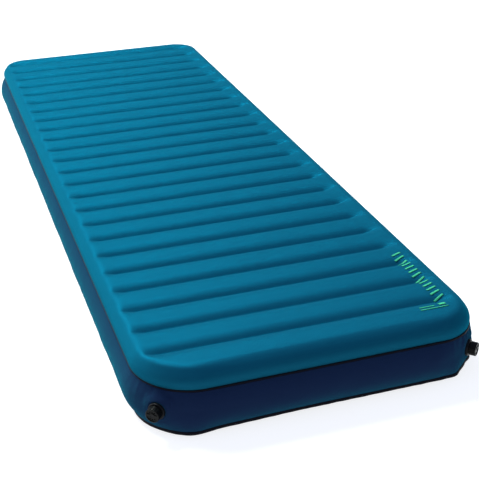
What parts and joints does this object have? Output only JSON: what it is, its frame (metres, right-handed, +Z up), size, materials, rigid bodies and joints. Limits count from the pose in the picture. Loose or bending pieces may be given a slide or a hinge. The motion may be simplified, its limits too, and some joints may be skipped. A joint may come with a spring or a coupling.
{
  "type": "inflatable sleeping pad",
  "caption": "Thick self-inflating sleeping pad with a ridged top, upright side walls, welded seams, foam layers joined by fabric strips, and a twist valve at each near corner.",
  "frame": {"origin": "middle of the underside, on the surface that the pad lies on", "axes": "+X across the width, +Y along the length away from the valve end, +Z up"},
  "size_m": [0.6586, 1.9836, 0.121],
  "materials": {
    "top_fabric": "matte",
    "wall_fabric": "matte",
    "bottom_fabric": "matte",
    "seam_film": "satin",
    "foam": "matte",
    "strip_fabric": "matte",
    "valve_plastic": "satin",
    "cap_plastic": "satin",
    "seal_rubber": "matte"
  },
  "bodies": {
    "pad": {"top_panel": "top_fabric", "side_wall": "wall_fabric", "bottom_panel": "bottom_fabric", "top_seam": "seam_film", "bottom_seam": "seam_film", "upper_foam": "foam", "lower_foam": "foam", "baffle_strip_01": "strip_fabric", "baffle_strip_02": "strip_fabric", "baffle_strip_03": "strip_fabric", "baffle_strip_04": "strip_fabric", "baffle_strip_05": "strip_fabric", "baffle_strip_06": "strip_fabric", "baffle_strip_07": "strip_fabric", "baffle_strip_08": "strip_fabric", "baffle_strip_09": "strip_fabric", "baffle_strip_10": "strip_fabric", "baffle_strip_11": "strip_fabric", "baffle_strip_12": "strip_fabric", "baffle_strip_13": "strip_fabric", "baffle_strip_14": "strip_fabric", "baffle_strip_15": "strip_fabric", "baffle_strip_16": "strip_fabric", "baffle_strip_17": "strip_fabric", "baffle_strip_18": "strip_fabric", "baffle_strip_19": "strip_fabric", "baffle_strip_20": "strip_fabric", "baffle_strip_21": "strip_fabric", "baffle_strip_22": "strip_fabric", "baffle_strip_23": "strip_fabric", "baffle_strip_24": "strip_fabric", "inflate_valve_patch": "seam_film", "inflate_valve_base": "valve_plastic", "inflate_valve_check_seat": "valve_plastic", "inflate_valve_flap_rivet": "seal_rubber", "deflate_valve_patch": "seam_film", "deflate_valve_base": "valve_plastic", "deflate_valve_check_seat": "valve_plastic", "deflate_valve_flap_rivet": "seal_rubber"},
    "inflate_stem": {"inflate_valve_stem": "valve_plastic", "inflate_valve_o_ring": "seal_rubber"},
    "inflate_cap": {"inflate_valve_cap": "cap_plastic"},
    "inflate_flap": {"inflate_valve_check_flap": "seal_rubber"},
    "deflate_stem": {"deflate_valve_stem": "valve_plastic", "deflate_valve_o_ring": "seal_rubber"},
    "deflate_cap": {"deflate_valve_cap": "cap_plastic"},
    "deflate_flap": {"deflate_valve_check_flap": "seal_rubber"}
  },
  "joints": [
    {"name": "inflate_cap_lift", "type": "slide", "parent": "pad", "child": "inflate_stem", "axis": [-0.682, -0.7314, 0], "range_m": [0, 0.004]},
    {"name": "inflate_cap_turn", "type": "hinge", "parent": "inflate_stem", "child": "inflate_cap", "pos_m": [-0.29388, -0.96191, 0.0465], "axis": [-0.682, -0.7314, 0], "range_deg": [0, 180]},
    {"name": "inflate_flap_swing", "type": "hinge", "parent": "pad", "child": "inflate_flap", "pos_m": [-0.28102, -0.94812, 0.0508], "axis": [0.7314, -0.682, 0], "range_deg": [0, 35], "stiffness_Nm_per_rad": 0.00005},
    {"name": "deflate_cap_lift", "type": "slide", "parent": "pad", "child": "deflate_stem", "axis": [0.682, -0.7314, 0], "range_m": [0, 0.004]},
    {"name": "deflate_cap_turn", "type": "hinge", "parent": "deflate_stem", "child": "deflate_cap", "pos_m": [0.29388, -0.96191, 0.0465], "axis": [0.682, -0.7314, 0], "range_deg": [0, 180]},
    {"name": "deflate_flap_swing", "type": "hinge", "parent": "pad", "child": "deflate_flap", "pos_m": [0.28356, -0.95084, 0.0508], "axis": [-0.7314, -0.682, 0], "range_deg": [0, 35], "stiffness_Nm_per_rad": 0.00005}
  ],
  "couplings": [
    {"joint": "inflate_cap_turn", "follows": "inflate_cap_lift", "rad_per_m": 785.4},
    {"joint": "deflate_cap_turn", "follows": "deflate_cap_lift", "rad_per_m": 785.4}
  ]
}
